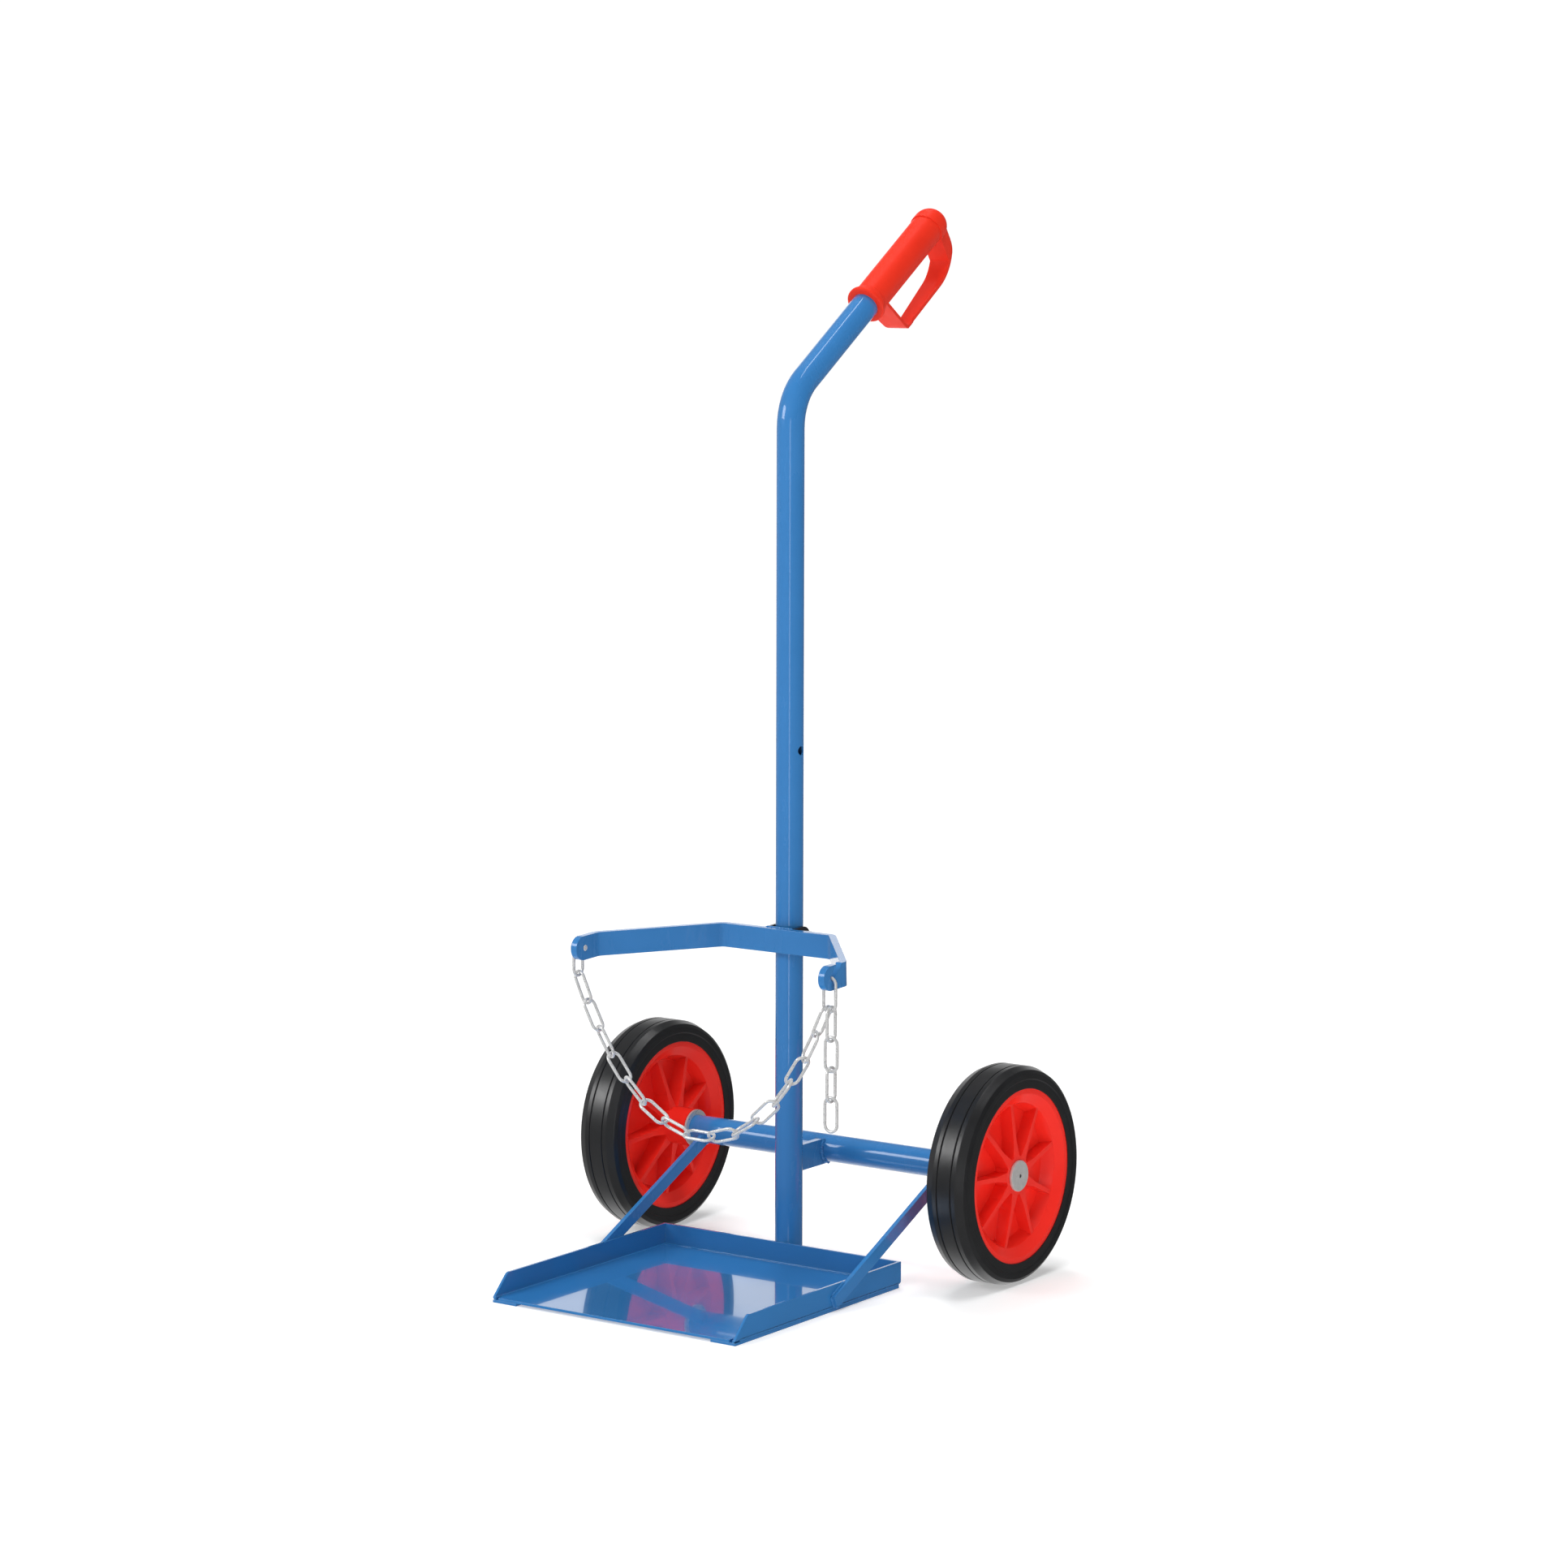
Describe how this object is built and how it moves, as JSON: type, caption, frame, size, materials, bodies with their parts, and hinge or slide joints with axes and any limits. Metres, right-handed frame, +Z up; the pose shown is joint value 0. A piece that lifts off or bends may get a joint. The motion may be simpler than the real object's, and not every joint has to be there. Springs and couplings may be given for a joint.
{
  "type": "gas cylinder trolley",
  "caption": "Two-wheeled trolley for a single gas cylinder: round mast with guarded grip, low tray, rubber-tyred wheels, bent cradle bar and retaining chain.",
  "frame": {"origin": "on the floor, under the middle of the trolley's bounding box", "axes": "+Z up, +X along the axle to the right as seen from the tray, -Y out of the tray's open front, +Y towards the handle"},
  "size_m": [0.541, 0.6506, 1.212],
  "materials": {
    "blue_paint": "gloss",
    "red_grip": "satin",
    "red_hub": "gloss",
    "tyre_rubber": "matte",
    "zinc": "satin",
    "steel": "satin",
    "black_clevis": "satin",
    "cage_plastic": "matte"
  },
  "bodies": {
    "frame": {"axle_bush_left": "steel", "axle_bush_right": "steel", "axle_cap_left": "zinc", "axle_cap_right": "zinc", "axle_link": "blue_paint", "axle_shaft": "steel", "axle_tube": "blue_paint", "brace_left": "blue_paint", "brace_right": "blue_paint", "chain_rivet": "zinc", "cradle_bar": "blue_paint", "cradle_bolt": "zinc", "cradle_clevis": "black_clevis", "cradle_nut": "zinc", "handle_grip": "red_grip", "inner_washer_left": "zinc", "inner_washer_right": "zinc", "mast_tube": "blue_paint", "tray": "blue_paint", "tray_skid_left": "blue_paint", "tray_skid_right": "blue_paint"},
    "left_wheel": {"tyre_left": "tyre_rubber", "hub_left": "red_hub"},
    "left_bearing": {"roller_cage_left": "cage_plastic", "rollers_left": "steel"},
    "right_wheel": {"tyre_right": "tyre_rubber", "hub_right": "red_hub"},
    "right_bearing": {"roller_cage_right": "cage_plastic", "rollers_right": "steel"},
    "chain_loop": {"chain_link_01": "zinc", "chain_link_02": "zinc", "chain_link_03": "zinc", "chain_link_04": "zinc", "chain_link_05": "zinc", "chain_link_06": "zinc", "chain_link_07": "zinc", "chain_link_08": "zinc", "chain_link_09": "zinc", "chain_link_10": "zinc", "chain_link_11": "zinc", "chain_link_12": "zinc", "chain_link_13": "zinc", "chain_link_14": "zinc", "chain_link_15": "zinc", "chain_link_16": "zinc", "chain_hooked_link": "zinc"},
    "tail_1": {"chain_tail_1": "zinc"},
    "tail_2": {"chain_tail_2": "zinc"},
    "tail_3": {"chain_tail_3": "zinc"},
    "tail_4": {"chain_tail_4": "zinc"}
  },
  "joints": [
    {"name": "left_wheel_spin", "type": "hinge", "parent": "frame", "child": "left_wheel", "pos_m": [-0.2435, 0.08883, 0.125], "axis": [1, 0, 0], "continuous": true},
    {"name": "left_bearing_turn", "type": "hinge", "parent": "frame", "child": "left_bearing", "pos_m": [-0.2435, 0.08883, 0.125], "axis": [1, 0, 0], "continuous": true},
    {"name": "right_wheel_spin", "type": "hinge", "parent": "frame", "child": "right_wheel", "pos_m": [0.2435, 0.08883, 0.125], "axis": [1, 0, 0], "continuous": true},
    {"name": "right_bearing_turn", "type": "hinge", "parent": "frame", "child": "right_bearing", "pos_m": [0.2435, 0.08883, 0.125], "axis": [1, 0, 0], "continuous": true},
    {"name": "chain_swing", "type": "hinge", "parent": "frame", "child": "chain_loop", "pos_m": [0, -0.15389, 0.37755], "axis": [1, 0, 0], "range_deg": [-85, 35]},
    {"name": "tail_1_swing", "type": "hinge", "parent": "chain_loop", "child": "tail_1", "pos_m": [0.17262, -0.15389, 0.34002], "axis": [1, 0, 0], "range_deg": [-40, 40]},
    {"name": "tail_2_swing", "type": "hinge", "parent": "tail_1", "child": "tail_2", "pos_m": [0.17262, -0.15389, 0.30691], "axis": [0, 1, 0], "range_deg": [-40, 15]},
    {"name": "tail_3_swing", "type": "hinge", "parent": "tail_2", "child": "tail_3", "pos_m": [0.17262, -0.15389, 0.27321], "axis": [1, 0, 0], "range_deg": [-40, 40]},
    {"name": "tail_4_swing", "type": "hinge", "parent": "tail_3", "child": "tail_4", "pos_m": [0.17262, -0.15389, 0.23952], "axis": [0, 1, 0], "range_deg": [-40, 25]}
  ],
  "couplings": [
    {"joint": "left_bearing_turn", "follows": "left_wheel_spin", "ratio": 0.6169},
    {"joint": "right_bearing_turn", "follows": "right_wheel_spin", "ratio": 0.6169}
  ]
}
